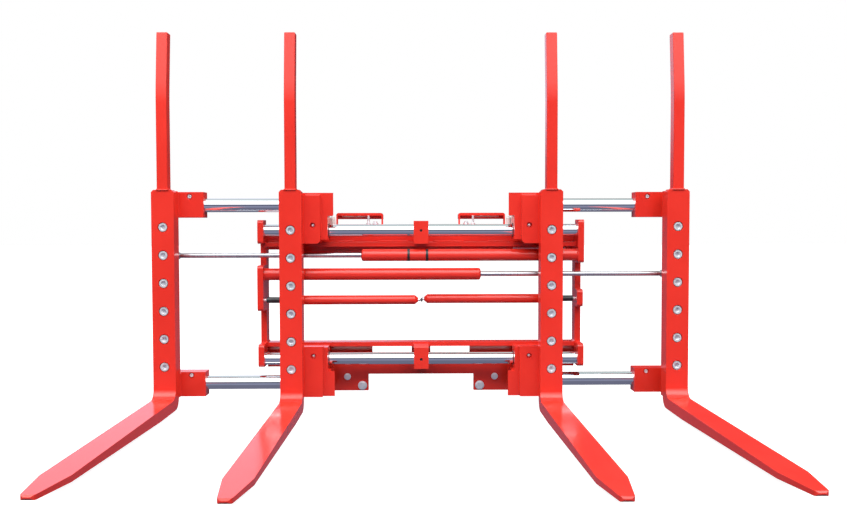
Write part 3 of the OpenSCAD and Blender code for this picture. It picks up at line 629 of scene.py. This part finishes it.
def add_light(name, azimuth, elevation, size, power):
    """A soft box that faces the object. Azimuth 0 is in front and turns to the right."""
    across, up = math.radians(azimuth), math.radians(elevation)
    place = LIGHT_TARGET + LIGHT_DISTANCE * Vector((
        math.sin(across) * math.cos(up), -math.cos(across) * math.cos(up), math.sin(up)))
    data = bpy.data.lights.new(name, "AREA")
    data.shape = "RECTANGLE"
    data.size, data.size_y = size
    data.energy = power
    light = bpy.data.objects.new(name, data)
    light.location = place
    light.rotation_euler = (LIGHT_TARGET - place).to_track_quat("-Z", "Y").to_euler()
    light.visible_glossy = False
    bpy.context.scene.collection.objects.link(light)


class World:
    """The room as colours by height, for reflections, with short calls for its nodes."""

    def __init__(self):
        world = bpy.data.worlds.new("studio")
        bpy.context.scene.world = world
        world.use_nodes = True
        self.tree = world.node_tree
        self.back = self.tree.nodes["Background"]
        place = self.tree.nodes.new("ShaderNodeTexCoord")
        split = self.tree.nodes.new("ShaderNodeSeparateXYZ")
        self.tree.links.new(place.outputs["Generated"], split.inputs["Vector"])
        self.x, self.y, self.z = split.outputs

    def spread(self, value, low, high):
        """0 below low, 1 above high."""
        node = self.tree.nodes.new("ShaderNodeMapRange")
        node.interpolation_type = "SMOOTHSTEP"
        node.inputs["From Min"].default_value = low
        node.inputs["From Max"].default_value = high
        self.tree.links.new(value, node.inputs["Value"])
        return node.outputs["Result"]

    def by_height(self, *points):
        """Colours by the sine of the elevation."""
        lift = self.tree.nodes.new("ShaderNodeMapRange")
        lift.inputs["From Min"].default_value = -1
        self.tree.links.new(self.z, lift.inputs["Value"])
        ramp = self.tree.nodes.new("ShaderNodeValToRGB")
        elements = ramp.color_ramp.elements
        while len(elements) < len(points):
            elements.new(0.5)
        for element, (height, color) in zip(elements, points):
            element.position = (height + 1) / 2
            element.color = (*color, 1)
        self.tree.links.new(lift.outputs["Result"], ramp.inputs["Fac"])
        return ramp.outputs["Color"]

    def mix(self, factor, a, b):
        mix = self.tree.nodes.new("ShaderNodeMix")
        mix.data_type = "RGBA"
        self.tree.links.new(factor, mix.inputs["Factor"])
        for value, socket in ((a, mix.inputs["A"]), (b, mix.inputs["B"])):
            if isinstance(value, tuple):
                socket.default_value = (*value, 1)
            else:
                self.tree.links.new(value, socket)
        return mix.outputs["Result"]


def add_world():
    """Reflections see a soft box in front that grows brighter with height, a dark line at the
    horizon and a blue-grey ground; behind, the left is bright and the right dark. The room and
    the lamps light the surfaces together."""
    world = World()
    floor, ground, line = (0.17, 0.175, 0.25), (0.27, 0.285, 0.40), (0.12, 0.13, 0.19)
    ceiling = (0.66, 0.74, 0.72)
    box_low, box_middle, box_high = ((v, v, v) for v in (1.3, 2.2, 5.0))
    front = world.by_height(
        (-1.0, floor), (-0.66, floor), (-0.60, ground), (-0.18, ground), (-0.14, line),
        (0.16, line), (0.24, box_low), (0.45, box_middle), (0.72, box_high), (0.93, box_high),
        (0.97, ceiling))
    bright = world.by_height(
        (-1.0, floor), (-0.1, line), (0.06, line), (0.12, (0.80, 0.84, 1.08)),
        (0.45, (0.85, 0.88, 1.05)), (0.98, ceiling))
    dark = world.by_height(
        (-1.0, floor), (-0.1, line), (0.0, (0.07, 0.06, 0.08)), (0.40, (0.05, 0.05, 0.07)),
        (0.70, ceiling), (0.98, ceiling))
    behind = world.mix(world.spread(world.x, -0.10, 0.05), bright, dark)
    room = world.mix(world.spread(world.y, -0.15, 0.15), front, behind)
    seen = world.tree.nodes.new("ShaderNodeLightPath")
    fill = (0.06, 0.06, 0.065)
    color = world.mix(seen.outputs["Is Diffuse Ray"], room, fill)
    color = world.mix(seen.outputs["Is Camera Ray"], color, (1.0, 1.0, 1.0))
    world.tree.links.new(color, world.back.inputs["Color"])


def add_studio():
    """Plain colours, the room, the floor and four soft lamps."""
    bpy.context.scene.view_settings.view_transform = "Standard"
    add_world()
    add_floor()
    add_light("key", 0, 42, (4.5, 2.5), 116)
    add_light("key_left", -50, 42, (3.0, 2.5), 78)
    add_light("key_right", 50, 42, (3.0, 2.5), 62)
    add_light("back", 180, 40, (5.0, 2.5), 90)


add_camera()
finish_cad_nodes()
add_details()
add_studio()
